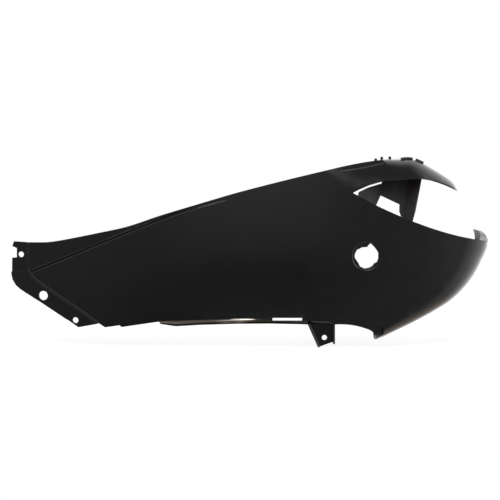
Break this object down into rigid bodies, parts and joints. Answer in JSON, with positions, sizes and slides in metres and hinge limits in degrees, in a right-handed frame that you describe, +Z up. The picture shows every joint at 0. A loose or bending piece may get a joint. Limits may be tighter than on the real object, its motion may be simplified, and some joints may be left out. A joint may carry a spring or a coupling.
{
  "type": "scooter side fairing panel",
  "caption": "Left rear side fairing of a motor scooter: a thin bowed skin with front screw flange, lock hole, tail-light opening, roof arm and wheel-arch corner.",
  "frame": {"origin": "on the flat outer face of the front flange, just below the tip of the main skin", "axes": "+X from the front flange to the tail, +Z up, outer face towards -Y"},
  "size_m": [0.7852, 0.1429, 0.3075],
  "materials": {
    "black_abs": "satin-gloss black, self-coloured"
  },
  "bodies": {
    "root": {"fairing_panel": "black_abs"}
  },
  "joints": []
}
